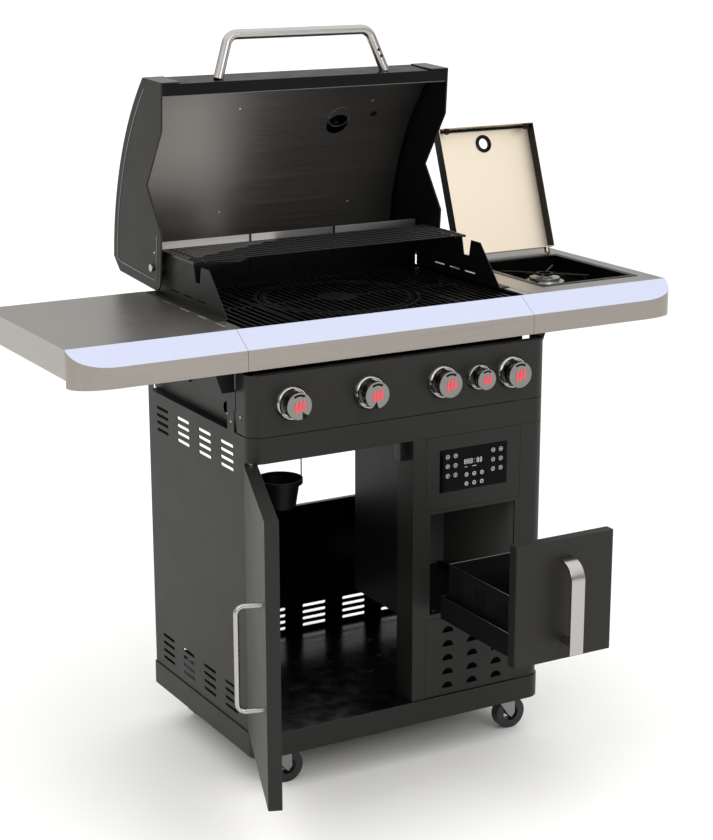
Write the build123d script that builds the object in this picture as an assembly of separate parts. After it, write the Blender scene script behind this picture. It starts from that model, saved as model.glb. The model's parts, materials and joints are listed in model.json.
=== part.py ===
from build123d import *
import math
import os

# Gas barbecue grill on a cart, stored open: hood up, door and drawer open, side lid up.
# Millimetres, +Z up, front towards -Y. Built about the cabinet's centre, then moved by
# ORIGIN_Y so that the origin is under the middle of the overall depth.
ORIGIN_Y = 101.0

# sheet metal
SHEET = 2.0
THIN = 1.5
RUN = 0.05            # radial clearance of every running fit

# cabinet
HALF_W = 348.6
FRONT_Y = -245.0
BACK_Y = 242.8
CORNER_R = 30.0
SIDE_FRONT_Y = -214.0
PAN_HALF_W = 351.4
PAN_HALF_D = 248.3
PAN_Z0 = 80.0
PAN_Z1 = 131.2
RAIL_Z0 = 704.2
RAIL_Z1 = 756.5
PANEL_Z0 = 757.8
PANEL_Z1 = 881.5
SIDE_Z1 = 755.0
BACK_Z1 = 440.0
REAR_FLANGE = 48.0
BRACKET_Z = 885.0

# worktop level
TABLE_HALF_W = 700.0
TABLE_Z = 964.6
TABLE_BACK_Y = 251.8
TABLE_IN_X = 331.0
STRIP_X = 349.5       # the tables' inner strip, sunk a little, carries the cheeks' feet
STRIP_DROP = 0.5
TRIM_FRONT_Y = -231.7
TRIM_BACK_Y = -181.7
TRIM_Z0 = 890.4
TRIM_Z1 = 932.0
TRIM_SEAMS = (-345.0, 320.0)
TRIM_CORNER = 90.0

# firebox
FB_X = 330.0
FB_Y0 = -176.0
FB_Y1 = 249.0
FB_Z0 = 755.0
FB_FLOOR_Z = 775.0
FB_REAR_Z = 1067.0
CHEEK_X = 324.0
GRATE_Z0 = 945.1
GRATE_Z1 = 957.0
RING_Y = 36.0
RING_R = 178.0
RING_IN_R = 160.0
INSERT_R = 158.0

# hood, drawn closed and then turned open about its pins
HOOD_Y = 214.0
HOOD_Z = 1021.0
HOOD_OPEN = 85.9
HOOD_X = 342.0
CAP_T = 4.0
ARC_Y = 235.0
ARC_Z = 606.0
ARC_R = 621.6
LINER_R = 585.0
HOOD_FRONT_Y = -177.0
HOOD_EDGE_Z = 982.0

# side burner
WELL_X0 = 410.0
WELL_X1 = 664.0
WELL_Y0 = -132.0
WELL_Y1 = 176.0
BURN_X = 537.0
BURN_Y = 42.0
LID_X0 = 407.0
LID_X1 = 667.0
LID_Y0 = -112.0
LID_Y1 = 182.0
LID_Z0 = 968.0
LID_Z1 = 996.0
LID_PIN_Y = 190.0
LID_PIN_Z = 973.0
LID_OPEN = 110.0

# controls
KNOB_Z = 821.0
KNOB_X = (-260.0, -85.0, 87.0, 174.0, 256.0)
KNOB_R = (27.3, 27.3, 27.3, 21.7, 27.3)
STEM_R = 4.0
PIPE_Y = -198.0
INLET_X = -292.0
INLET_Z = 728.0
INLET_LONG = 28.0

# door, drawn closed and then turned open about its pins
DOOR_X0 = -348.0
DOOR_X1 = 18.0
DOOR_Z0 = 136.5
DOOR_Z1 = 702.0
DOOR_T = 27.0
DOOR_PIN_X = -343.0
DOOR_PIN_Y = -231.0
DOOR_OPEN = 111.0

# air fryer module
POST_X = 20.0
POST_BACK_Y = -181.0
FRY_X0 = 52.0
FRY_X1 = 283.0
NICHE_X0 = 62.0
NICHE_X1 = 272.0
NICHE_Z0 = 319.0
NICHE_Z1 = 539.0
FASCIA_Z0 = 547.0
VENT_Z1 = 308.0
GLASS = (83.5, 249.3, 583.0, 674.0)
HOUSE_X0 = 45.0
HOUSE_X1 = 285.0
HOUSE_Y1 = 40.0
HOUSE_Z0 = 292.0
HOUSE_Z1 = 700.0
FAN_X = 167.0
FAN_Y = -90.0
DRAWER_OUT = 305.0
DRAWER_X0 = 52.8
DRAWER_X1 = 284.5
DRAWER_Z0 = 315.0
DRAWER_Z1 = 566.0
DRAWER_T = 24.5

# grease cup
CUP_X = -161.0
CUP_Y = 0.0
CUP_RIM_Z = 590.0
CUP_BASE_Z = 528.0

# casters
CASTER_X = 278.0
CASTER_Y = 200.0
CASTER_TRAIL = 18.0
WHEEL_R = 36.0
CASTER_STEM_R = 5.5


def block(x0, x1, y0, y1, z0, z1):
    centre = Pos((x0 + x1) / 2, (y0 + y1) / 2, (z0 + z1) / 2)
    return centre * Box(x1 - x0, y1 - y0, z1 - z0)


def outline(points):
    return make_face(Polyline(*points, close=True))


def prism_x(face, x0, x1):
    plane = Plane(origin=(x0, 0, 0), x_dir=(0, 1, 0), z_dir=(1, 0, 0))
    return extrude(plane * face, amount=x1 - x0)


def prism_y(face, y0, y1):
    plane = Plane(origin=(0, y1, 0), x_dir=(1, 0, 0), z_dir=(0, -1, 0))
    return extrude(plane * face, amount=y1 - y0)


def prism_z(face, z0, z1):
    return extrude(Pos(0, 0, z0) * face, amount=z1 - z0)


def rod(start, end, r):
    a = Vector(*start)
    b = Vector(*end)
    plane = Plane(origin=a, z_dir=(b - a).normalized())
    return extrude(plane * Circle(r), amount=(b - a).length)


def post(x, y, z0, z1, r):
    return rod((x, y, z0), (x, y, z1), r)


def pin_x(x0, x1, y, z, r):
    return rod((x0, y, z), (x1, y, z), r)


def pin_y(x, y0, y1, z, r):
    return rod((x, y0, z), (x, y1, z), r)


def merged(shapes):
    first, rest = shapes[0], shapes[1:]
    if rest:
        first = first.fuse(*rest)
    return first


def mirrored(shape):
    return mirror(shape, about=Plane.YZ)


def slot_x(x0, x1, y, z, long, high):
    # a slot running along Y through a wall that faces X
    bar = block(x0, x1, y - long / 2 + high / 2, y + long / 2 - high / 2, z - high / 2, z + high / 2)
    ends = [pin_x(x0, x1, y + s * (long - high) / 2, z, high / 2) for s in (-1, 1)]
    return merged([bar] + ends)


def slot_y(y0, y1, x, z, long, high):
    bar = block(x - long / 2 + high / 2, x + long / 2 - high / 2, y0, y1, z - high / 2, z + high / 2)
    ends = [pin_y(x + s * (long - high) / 2, y0, y1, z, high / 2) for s in (-1, 1)]
    return merged([bar] + ends)


def front_skin(z0, z1, x0, x1, back_y, thick):
    """A sheet across the cabinet's front between x0 and x1, wrapping its round corners."""
    def face(half, front, radius):
        rect = Pos(0, (front + 400) / 2) * Rectangle(2 * half, 400 - front)
        corners = [v for v in rect.vertices() if v.Y < 0]
        return fillet(corners, radius)
    skin = face(HALF_W, FRONT_Y, CORNER_R) - face(HALF_W - thick, FRONT_Y + thick, CORNER_R - thick)
    solid = prism_z(skin, z0, z1)
    return solid & block(x0, x1, FRONT_Y - 1, back_y, z0 - 1, z1 + 1)


def base_pan():
    def face(half_w, half_d, radius):
        rect = Rectangle(2 * half_w, 2 * half_d)
        rect = fillet([v for v in rect.vertices() if v.Y < 0], radius)
        return fillet([v for v in rect.vertices() if v.Y > half_d - 1], 6.0)
    pan = prism_z(face(PAN_HALF_W, PAN_HALF_D, CORNER_R + 3), PAN_Z0, PAN_Z1)
    pan = pan - prism_z(face(PAN_HALF_W - SHEET, PAN_HALF_D - SHEET, CORNER_R + 1), PAN_Z0, PAN_Z1 - SHEET)
    for sx in (-1, 1):
        for sy in (-1, 1):
            pan = pan + post(sx * CASTER_X, sy * CASTER_Y, PAN_Z0, PAN_Z1 - 1, 16)
    for sx in (-1, 1):
        for sy in (-1, 1):
            pan = pan - post(sx * CASTER_X, sy * CASTER_Y, PAN_Z0 - 1, PAN_Z0 + 42, CASTER_STEM_R + RUN)
    return pan


def louvres(shape, x0, x1, z_values):
    for y in (-135, -33, 70, 172):
        for z in z_values:
            shape = shape - slot_x(x0, x1, y, z, 57, 7)
    return shape


def corner_post(s):
    """The side panel's rear edge: a strip up to the table and a flange across the open back."""
    strip = block(HALF_W - SHEET, HALF_W, 217, BACK_Y, SIDE_Z1 - 1, BRACKET_Z)
    flange = block(HALF_W - REAR_FLANGE, HALF_W, BACK_Y - SHEET, BACK_Y, BACK_Z1 + 0.3, SIDE_Z1)
    post = strip + flange
    return post if s > 0 else mirrored(post)


def side_panel_left():
    x = -HALF_W
    panel = merged([
        block(x, x + SHEET, SIDE_FRONT_Y, BACK_Y, PAN_Z1, SIDE_Z1),
        block(x, x + 22, SIDE_FRONT_Y, SIDE_FRONT_Y + SHEET, PAN_Z1, RAIL_Z0),
        block(x, x + 20, SIDE_FRONT_Y, BACK_Y - SHEET, SIDE_Z1 - SHEET, SIDE_Z1),
    ])
    ear = block(x, x + SHEET, -178, -140, SIDE_Z1 - 1, 842)
    ear = ear - block(x - 1, x + SHEET + 1, -179, -170, SIDE_Z1, 800)
    panel = merged([panel, ear, corner_post(-1)])
    panel = louvres(panel, x - 1, x + SHEET + 0.5, (724, 708, 692, 676))
    return louvres(panel, x - 1, x + SHEET + 0.5, (208, 191, 173, 156))


def side_panel_right():
    x = HALF_W
    panel = merged([
        block(x - SHEET, x, SIDE_FRONT_Y, BACK_Y, PAN_Z1, SIDE_Z1),
        block(x - 20, x, SIDE_FRONT_Y, BACK_Y - SHEET, SIDE_Z1 - SHEET, SIDE_Z1),
        front_skin(PAN_Z1, RAIL_Z0 - 0.2, FRY_X1, HALF_W + 1, SIDE_FRONT_Y, SHEET),
    ])
    panel = panel + corner_post(1)
    panel = louvres(panel, x - SHEET - 0.5, x + 1, (724, 708, 692, 676))
    return louvres(panel, x - SHEET - 0.5, x + 1, (208, 191, 173, 156))


def back_panel():
    half = HALF_W - SHEET
    panel = block(-half, half, BACK_Y - SHEET, BACK_Y, PAN_Z1, BACK_Z1)
    panel = panel + block(-half, half, BACK_Y - 12, BACK_Y, BACK_Z1 - SHEET, BACK_Z1)
    for column in range(6):
        for row in range(4):
            x = -265 + 105 * column
            panel = panel - slot_y(BACK_Y - SHEET - 1, BACK_Y + 1, x, 145.8 + 15.6 * row, 60, 7)
    return panel


def front_rail():
    rail = front_skin(RAIL_Z0, RAIL_Z1, -HALF_W - 1, HALF_W + 1, SIDE_FRONT_Y, SHEET)
    shelf = block(-HALF_W + 16, HALF_W - 16, FRONT_Y + 1, SIDE_FRONT_Y, RAIL_Z0, RAIL_Z0 + SHEET)
    rail = rail + (shelf & prism_z(Pos(0, 85) * Rectangle(2 * HALF_W - 3, 657), RAIL_Z0, RAIL_Z1))
    rail = rail + front_skin(RAIL_Z1 - 1.4, RAIL_Z1, -HALF_W - 1, HALF_W + 1, SIDE_FRONT_Y, 22)
    return rail - post(DOOR_PIN_X, DOOR_PIN_Y, RAIL_Z0 - 1, RAIL_Z0 + 2, STEM_R)


def fryer_frame():
    windows = [
        (FRY_X0, FRY_X1 + 1, FASCIA_Z0, RAIL_Z0 + 1),
        (NICHE_X0, NICHE_X1, NICHE_Z0, NICHE_Z1),
        (FRY_X0, FRY_X1 + 1, PAN_Z1 - 1, VENT_Z1),
    ]
    front = block(POST_X, FRY_X1, FRONT_Y, FRONT_Y + SHEET, PAN_Z1, RAIL_Z0 - 0.2)
    for x0, x1, z0, z1 in windows:
        front = front - block(x0, x1, FRONT_Y - 1, FRONT_Y + SHEET + 1, z0, z1)
    lip = block(POST_X + 1, FRY_X1, FRONT_Y + SHEET, FRONT_Y + 2 * SHEET, PAN_Z1, RAIL_Z0 - 0.2)
    for x0, x1, z0, z1 in windows:
        x_in = min(x1, FRY_X1) - (0 if x1 == NICHE_X1 else 7)
        lift = 0 if z0 == NICHE_Z0 else 7
        lip = lip - block(x0 + lift, x_in, FRONT_Y, FRONT_Y + 9, max(z0, PAN_Z1) + lift, min(z1, RAIL_Z0) - lift)
    side = block(POST_X, POST_X + SHEET, FRONT_Y, POST_BACK_Y, PAN_Z1, RAIL_Z0 - 0.2)
    rear = block(POST_X, POST_X + 22, POST_BACK_Y - SHEET, POST_BACK_Y, PAN_Z1, RAIL_Z0 - 0.2)
    return merged([front, lip, side, rear])


def fryer_fascia():
    gx0, gx1, gz0, gz1 = GLASS
    plate = block(FRY_X0 + 0.4, FRY_X1 - 0.4, FRONT_Y, FRONT_Y + SHEET, FASCIA_Z0 + 0.4, RAIL_Z0 - 0.6)
    return plate - block(gx0, gx1, FRONT_Y - 1, FRONT_Y + SHEET + 1, gz0, gz1)


def touch_glass():
    gx0, gx1, gz0, gz1 = GLASS
    glass = block(gx0, gx1, FRONT_Y - 0.6, FRONT_Y + SHEET, gz0, gz1)
    board = block(gx0 + 8, gx1 - 8, FRONT_Y + SHEET, FRONT_Y + 12, gz0 + 8, gz1 - 8)
    return glass + board


def fryer_vent_panel():
    plate = block(FRY_X0 + 0.4, FRY_X1 - 0.4, FRONT_Y, FRONT_Y + SHEET, PAN_Z1 + 1, VENT_Z1 - 0.4)
    for column in range(3):
        for row in range(5):
            x = 108.5 + 61.5 * column
            z = 146.5 + 31.5 * row
            hole = pin_y(x, FRONT_Y - 1, FRONT_Y + SHEET + 1, z, 13.5)
            hole = hole & block(x - 14, x + 14, FRONT_Y - 1, FRONT_Y + SHEET + 1, z, z + 14)
            plate = plate - hole
    return plate


def fryer_housing():
    y0 = FRONT_Y + 2 * SHEET
    t = THIN
    outer = block(HOUSE_X0, HOUSE_X1, y0, HOUSE_Y1, HOUSE_Z0, HOUSE_Z1)
    outer = outer - block(HOUSE_X0 + t, HOUSE_X1 - t, y0 + t, HOUSE_Y1 - t, HOUSE_Z0 + t, HOUSE_Z1 - t)
    outer = outer - block(GLASS[0], GLASS[1], y0 - 1, y0 + t + 1, GLASS[2], GLASS[3])
    tunnel = block(NICHE_X0 - t, NICHE_X1 + t, y0, HOUSE_Y1 - 4, NICHE_Z0 - t, NICHE_Z1 + t)
    cavity = block(NICHE_X0, NICHE_X1, y0 - 1, HOUSE_Y1 - 4 - t, NICHE_Z0, NICHE_Z1)
    house = outer + tunnel - cavity
    return house - post(FAN_X, FAN_Y, NICHE_Z1 - 1, NICHE_Z1 + 4, 12)


def fryer_heater():
    plate = block(FAN_X - 78, FAN_X + 78, FAN_Y - 78, FAN_Y + 78, NICHE_Z1 - 4, NICHE_Z1)
    coil = Pos(FAN_X, FAN_Y, NICHE_Z1 - 22) * Torus(64, 3)
    legs = [post(FAN_X + s * 64, FAN_Y, NICHE_Z1 - 22, NICHE_Z1 - 3, 3) for s in (-1, 1)]
    motor = post(FAN_X, FAN_Y, NICHE_Z1 + THIN, NICHE_Z1 + 46, 34)
    neck = post(FAN_X, FAN_Y, NICHE_Z1 - 4, NICHE_Z1 + 4, 11.5)
    shaft = post(FAN_X, FAN_Y, NICHE_Z1 - 30, NICHE_Z1, 3)
    return merged([plate, coil, motor, neck, shaft] + legs)


def fryer_fan():
    top = NICHE_Z1 - 8
    hub = post(FAN_X, FAN_Y, top - 18, top, 9)
    disc = post(FAN_X, FAN_Y, top - 2, top, 48)
    blades = []
    for step in range(8):
        blade = block(6, 46, -1, 1, top - 16, top - 1)
        blades.append(Pos(FAN_X, FAN_Y, 0) * Rot(0, 0, 45 * step) * blade)
    return merged([hub, disc] + blades) - post(FAN_X, FAN_Y, top - 19, top + 1, 3 + RUN)


def drawer_rails():
    bars = [block(x, x + 10, FRONT_Y + 8, 30, NICHE_Z0, NICHE_Z0 + 6) for x in (72, 252)]
    return Compound(children=bars)


def drawer_front():
    y1 = FRONT_Y - 1
    y0 = y1 - DRAWER_T
    body = block(DRAWER_X0, DRAWER_X1, y0, y1, DRAWER_Z0, DRAWER_Z1)
    body = fillet(body.edges().filter_by(Axis.Z).group_by(Axis.Y)[0], 4)
    t = 1.5
    body = body - block(DRAWER_X0 + t, DRAWER_X1 - t, y0 + t, y1 - t, DRAWER_Z0 + t, DRAWER_Z1 - t)
    return Pos(0, -DRAWER_OUT, 0) * body


def drawer_tray():
    z0 = NICHE_Z0 + 6.2
    x0, x1, y0, y1, z1 = 64.0, 270.0, FRONT_Y - 1, 20.0, 374.0
    tray = block(x0, x1, y0, y1, z0, z1)
    tray = tray - block(x0 + THIN, x1 - THIN, y0 + THIN, y1 - THIN, z0 + THIN, z1 + 1)
    return Pos(0, -DRAWER_OUT, 0) * tray


def drawer_handle():
    y0 = FRONT_Y - 1 - DRAWER_T
    out = y0 - 46
    t = 5.0
    bend = 40.0
    top, low = 528.0, 338.0
    y_bend, z_bend = out + bend, top - bend
    c = math.sqrt(0.5)
    edges = Curve() + [
        Line((y0, top), (y_bend, top)),
        ThreePointArc((y_bend, top), (y_bend - bend * c, z_bend + bend * c), (out, z_bend)),
        Line((out, z_bend), (out, low)),
        Line((out, low), (out + t, low)),
        Line((out + t, low), (out + t, z_bend)),
        ThreePointArc((out + t, z_bend), (y_bend - (bend - t) * c, z_bend + (bend - t) * c), (y_bend, top - t)),
        Line((y_bend, top - t), (y0, top - t)),
        Line((y0, top - t), (y0, top)),
    ]
    strap = prism_x(make_face(edges), 152, 184)
    lug = block(160, 176, out + t - 1, y0, 352, 362)
    return Pos(0, -DRAWER_OUT, 0) * (strap + lug)


def fryer_basket():
    x0, x1, y0, y1, z0, z1 = 78.0, 256.0, -225.0, 11.0, 342.0, 444.0
    basket = block(x0, x1, y0, y1, z0, z1)
    basket = basket - block(x0 + THIN, x1 - THIN, y0 + THIN, y1 - THIN, z0 + THIN, z1 + 1)
    slots = []
    for group in range(3):
        for step in range(5):
            y = -203 + 80 * group + 8 * step
            slots.append(block(x0 - 1, x1 + 1, y, y + 3, 374, 422))
    for step in range(9):
        x = x0 + 22 + 16 * step
        slots.append(block(x, x + 6, y0 + 20, y1 - 20, z0 - 1, z0 + THIN + 1))
    basket = basket.cut(*slots)
    feet = [post(x, y, NICHE_Z0 + 6.2 + THIN + 0.1, z0 + 1, 5)
            for x in (x0 + 12, x1 - 12) for y in (y0 + 12, y1 - 12)]
    return Pos(0, -DRAWER_OUT, 0) * merged([basket] + feet)


def firebox_shell():
    t = SHEET
    box = block(-FB_X, FB_X, FB_Y0, FB_Y1, FB_Z0, TABLE_Z - t - 0.6)
    box = box - block(-FB_X + t, FB_X - t, FB_Y0 + t, FB_Y1 - t, FB_FLOOR_Z + t, TABLE_Z + 1)
    box = box - block(-FB_X + t, FB_X - t, FB_Y0 + t, FB_Y1 - t, FB_Z0 - 1, FB_FLOOR_Z)
    box = box - block(-180, 180, -60, 140, FB_FLOOR_Z - 1, FB_FLOOR_Z + t + 1)
    box = box - block(-228, 228, FB_Y1 - t - 1, FB_Y1 + 1, FB_Z0 - 1, FB_FLOOR_Z - 2)
    rear = block(-CHEEK_X + t, CHEEK_X - t, FB_Y1 - t, FB_Y1, TABLE_Z - 10, FB_REAR_Z)
    ribs = [block(x - 2, x + 2, FB_Y1 - 5, FB_Y1 - 1, 985, FB_REAR_Z) for x in (-97, 110)]
    shell = merged([box, rear] + ribs)
    for i in (0, 1, 2, 4):
        shell = shell - pin_y(KNOB_X[i], FB_Y0 - 1, FB_Y0 + 5, KNOB_Z, 15)
    return shell - pin_x(-FB_X - 1, -FB_X + 4, -99, 787, 13)


def grate_ledges():
    """Bars along the firebox's front and rear walls: the upper pair carries the grates."""
    x = FB_X - SHEET
    bars = []
    for z in (GRATE_Z0 - SHEET, 856.0):
        for y in (FB_Y0 + SHEET, FB_Y1 - 14):
            bars.append(block(-x, x, y, y + 12, z - 0.1, z + SHEET - 0.1))
    return Compound(children=bars)


def tray_rails():
    rail = block(216, 232, -150, 230, 740, 742) + block(230, 232, -150, 230, 740, FB_FLOOR_Z)
    return Compound(children=[rail, mirrored(rail)])


def firebox_cheeks():
    z0 = TABLE_Z - STRIP_DROP
    profile = [(-99, z0), (-19, 1051), (17, 1051), (24, 1016), (45, 1016), (54, 1053),
               (234, 1053), (242, 1045), (242, z0)]
    cheek = prism_x(outline(profile), CHEEK_X - SHEET, CHEEK_X)
    foot = block(CHEEK_X - SHEET, CHEEK_X + 23, -99, 242, z0, z0 + SHEET)
    cheek = cheek + foot - pin_x(CHEEK_X - 5, CHEEK_X + 5, HOOD_Y, HOOD_Z, STEM_R)
    for i in range(3):
        y = 20 + 62 * i
        cheek = cheek - block(CHEEK_X - 3, CHEEK_X + 1, y - 21, y + 21, 979, 982)
    return Compound(children=[cheek, mirrored(cheek)])


def control_panel():
    skin = front_skin(PANEL_Z0, PANEL_Z1, -HALF_W - 1, HALF_W + 1, -181, SHEET)
    top = block(-HALF_W + 16, HALF_W - 16, FRONT_Y + 1, FRONT_Y + 22, PANEL_Z1 - SHEET, PANEL_Z1)
    panel = skin + top
    for x in KNOB_X:
        panel = panel - pin_y(x, FRONT_Y - 1, FRONT_Y + 4, KNOB_Z, 14)
    return panel


def knob_bezels():
    rings = []
    for x, r in zip(KNOB_X, KNOB_R):
        base, front, bore = r * 1.32, r * 1.155, r * 1.05
        profile = [(6, 0), (base, 0), (front, 10), (bore, 10), (bore, 2), (6, 2)]
        ring = revolve(Plane.XZ * outline(profile), Axis.Z)
        rings.append(Pos(x, FRONT_Y, KNOB_Z) * Rot(90, 0, 0) * ring)
    return Compound(children=rings)


def gas_manifold():
    parts = [pin_x(-300, 290, PIPE_Y, KNOB_Z, 10)]
    for x in KNOB_X:
        parts.append(block(x - 12, x + 12, PIPE_Y - 16, PIPE_Y + 14, KNOB_Z - 13, KNOB_Z + 13))
        parts.append(pin_y(x, FRONT_Y - 19, PIPE_Y, KNOB_Z, STEM_R))
        parts.append(pin_y(x, PIPE_Y, PIPE_Y + 20, KNOB_Z, 3))
    parts.append(post(INLET_X, PIPE_Y, INLET_Z, KNOB_Z, 8))
    parts.append(block(INLET_X - 12, INLET_X + 12, PIPE_Y - 12, PIPE_Y + 12, INLET_Z - 12, INLET_Z + 12))
    parts.append(pin_y(INLET_X, PIPE_Y + 12, PIPE_Y + 12 + INLET_LONG, INLET_Z, 8))
    return merged(parts)


def main_burners():
    burners = []
    for i in (0, 1, 2, 4):
        x = KNOB_X[i]
        tube = merged([
            pin_y(x, -183, FB_Y1 - 20, KNOB_Z, 13),
            pin_y(x, FB_Y1 - 20, FB_Y1 - SHEET, KNOB_Z, 4),
        ])
        tube = tube - pin_y(x, -184, -120, KNOB_Z, 11)
        burners.append(tube)
    return Compound(children=burners)


def flame_tamers():
    tents = []
    for i in (0, 1, 2, 4):
        x = KNOB_X[i]
        z = 858.1
        roof = [(x - 45, z), (x, z + 28), (x + 45, z), (x + 42.5, z), (x, z + 26), (x - 42.5, z)]
        tents.append(prism_y(outline(roof), FB_Y0 + 3, FB_Y1 - 3))
    return Compound(children=tents)


def grate_bars(x0, x1, y0, y1):
    bars = [block(x0, x1, y0, y0 + 7, GRATE_Z0, GRATE_Z1), block(x0, x1, y1 - 7, y1, GRATE_Z0, GRATE_Z1)]
    bars.append(block(x0, x1, RING_Y - 3.5, RING_Y + 3.5, GRATE_Z0 + 2, GRATE_Z1 - 1))
    count = round((x1 - x0 - 6) / 17.0)
    pitch = (x1 - x0 - 6) / count
    for i in range(count + 1):
        x = x0 + pitch * i
        bars.append(block(x, x + 6, y0, y1, GRATE_Z0, GRATE_Z1))
    return bars


def side_grates():
    grate = merged(grate_bars(193, CHEEK_X - 4, FB_Y0 + 6, FB_Y1 - 4))
    return Compound(children=[grate, mirrored(grate)])


def ring_grate():
    grate = merged(grate_bars(-190, 190, FB_Y0 + 6, FB_Y1 - 4))
    ring = post(0, RING_Y, GRATE_Z0, GRATE_Z1, RING_R) - post(0, RING_Y, GRATE_Z0, GRATE_Z1, RING_IN_R + 9)
    shelf = post(0, RING_Y, GRATE_Z0, GRATE_Z0 + 3, RING_R) - post(0, RING_Y, 940, 960, RING_IN_R - 8)
    lip = post(0, RING_Y, GRATE_Z0, GRATE_Z1, RING_IN_R + 4) - post(0, RING_Y, GRATE_Z0, GRATE_Z1, RING_IN_R)
    return grate - post(0, RING_Y, 940, 960, RING_R - 1) + ring + shelf + lip


def grate_insert():
    z0 = GRATE_Z0 + 3.1
    disc = post(0, RING_Y, z0, GRATE_Z1, INSERT_R)
    rim = disc - post(0, RING_Y, z0 - 1, GRATE_Z1 + 1, INSERT_R - 7)
    bars = [block(17 * i - 3, 17 * i + 3, RING_Y - 160, RING_Y + 160, z0, GRATE_Z1) for i in range(-9, 10)]
    bars.append(block(-160, 160, RING_Y - 3.5, RING_Y + 3.5, z0, GRATE_Z1 - 1))
    core = post(0, RING_Y, z0, GRATE_Z1, 42)
    return merged([rim, core] + [bar & disc for bar in bars])


def warming_rack():
    x, z, y0, y1 = CHEEK_X + 1, 1057.0, 49.0, 205.0
    wires = [pin_x(-x, x, y0 + 19.5 * i, z, 2.0) for i in range(9)]
    for s in (-1, 1):
        for inset in (0, 24):
            end = s * (x - inset)
            wires.append(block(end - 2.5, end + 2.5, y0 - 3, y1 + 3, z - 3.9, z + 1))
    return merged(wires)


def table_end_flange(s):
    return block(min(s * 700, s * 698), max(s * 700, s * 698), TRIM_BACK_Y, TABLE_BACK_Y, 905, TABLE_Z)


def left_table():
    top = block(-TABLE_HALF_W, -TABLE_IN_X, TRIM_BACK_Y, TABLE_BACK_Y, TABLE_Z - SHEET, TABLE_Z)
    back = block(-TABLE_HALF_W, -TABLE_IN_X, TABLE_BACK_Y - SHEET, TABLE_BACK_Y, 920, TABLE_Z)
    table = merged([top, back, table_end_flange(-1)])
    table = table - block(-STRIP_X, 0, TRIM_BACK_Y - 1, TABLE_BACK_Y + 1, TABLE_Z - STRIP_DROP, TABLE_Z + 1)
    for i in range(5):
        y = 205 - 84 * i
        table = table - block(-355, -352, y - 22, y + 22, TABLE_Z - 3, TABLE_Z + 1)
    return table


def right_table():
    top = block(TABLE_IN_X, TABLE_HALF_W, TRIM_BACK_Y, TABLE_BACK_Y, TABLE_Z - SHEET, TABLE_Z)
    back = block(TABLE_IN_X, TABLE_HALF_W, TABLE_BACK_Y - SHEET, TABLE_BACK_Y, 920, TABLE_Z)
    table = merged([top, back, table_end_flange(1)])
    table = table - block(0, STRIP_X, TRIM_BACK_Y - 1, TABLE_BACK_Y + 1, TABLE_Z - STRIP_DROP, TABLE_Z + 1)
    table = table - block(WELL_X0 + 12, WELL_X1 - 12, WELL_Y0 + 12, WELL_Y1 - 12, TABLE_Z - 3, TABLE_Z + 1)
    ears = [block(x, x + 3, LID_PIN_Y - 5, LID_PIN_Y + 5, TABLE_Z, LID_PIN_Z + 5) for x in (422, 649)]
    return merged([table] + ears)


def trim_solid(inset):
    half = TABLE_HALF_W - inset
    front = TRIM_FRONT_Y + inset
    lower = TRIM_Z1 - inset * 0.55
    upper = TABLE_Z - inset * 1.2
    profile = [(front, TRIM_Z0 - inset), (front, lower), (TRIM_BACK_Y, upper), (TRIM_BACK_Y, TRIM_Z0 - inset)]
    bar = prism_x(outline(profile), -half, half)
    curve = Bezier((-half, TRIM_BACK_Y), (-half, front + 14), (-half + 40, front), (-half + TRIM_CORNER, front))
    other = Bezier((half - TRIM_CORNER, front), (half - 40, front), (half, front + 14), (half, TRIM_BACK_Y))
    edge = Line((-half + TRIM_CORNER, front), (half - TRIM_CORNER, front))
    back = Line((half, TRIM_BACK_Y), (-half, TRIM_BACK_Y))
    plan = make_face(Curve() + [curve, edge, other, back])
    return bar & prism_z(plan, TRIM_Z0 - 5, TABLE_Z + 5)


def front_trim():
    skin = trim_solid(0) - trim_solid(SHEET)
    cuts = (-TABLE_HALF_W - 1,) + TRIM_SEAMS + (TABLE_HALF_W + 1,)
    pieces = []
    for x0, x1 in zip(cuts[:-1], cuts[1:]):
        piece = skin & block(x0 + 0.3, x1 - 0.3, -300, TRIM_BACK_Y, 800, 1000)
        pieces.append(piece.solids()[0])
    return Compound(children=pieces)


def side_burner_bowl():
    z0 = 924.0
    flange = block(WELL_X0, WELL_X1, WELL_Y0, WELL_Y1, TABLE_Z, TABLE_Z + 1)
    tub = block(WELL_X0 + 12, WELL_X1 - 12, WELL_Y0 + 12, WELL_Y1 - 12, z0, TABLE_Z + 1)
    bowl = flange + tub
    bowl = bowl - block(WELL_X0 + 14, WELL_X1 - 14, WELL_Y0 + 14, WELL_Y1 - 14, z0 + THIN, TABLE_Z + 2)
    return bowl - post(BURN_X, BURN_Y, z0 - 1, z0 + 3, 20)


def side_burner():
    z0 = 924.0 + THIN
    base = post(BURN_X, BURN_Y, z0, z0 + 12, 44)
    cap = post(BURN_X, BURN_Y, z0 + 12, z0 + 20, 34)
    neck = post(BURN_X, BURN_Y, 898, z0 + 1, 18)
    tube = pin_y(BURN_X, -150, BURN_Y, 905, 11)
    return merged([base, cap, neck, tube])


def side_burner_trivet():
    z = 953.0
    wires = []
    for angle in range(45, 405, 90):
        c, s = math.cos(math.radians(angle)), math.sin(math.radians(angle))
        foot = (BURN_X + 96 * c, BURN_Y + 96 * s)
        wires.append(rod((BURN_X + 15 * c, BURN_Y + 15 * s, z), (foot[0] + 4 * c, foot[1] + 4 * s, z), 2.5))
        wires.append(post(foot[0], foot[1], 924 + THIN, z, 2.2))
    tube = post(BURN_X, BURN_Y, z - 18, z - 13, 98) - post(BURN_X, BURN_Y, z - 20, z - 10, 94)
    inner = post(BURN_X, BURN_Y, z - 2.2, z + 2.2, 19) - post(BURN_X, BURN_Y, z - 5, z + 5, 14)
    return merged(wires + [tube, inner])


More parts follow.
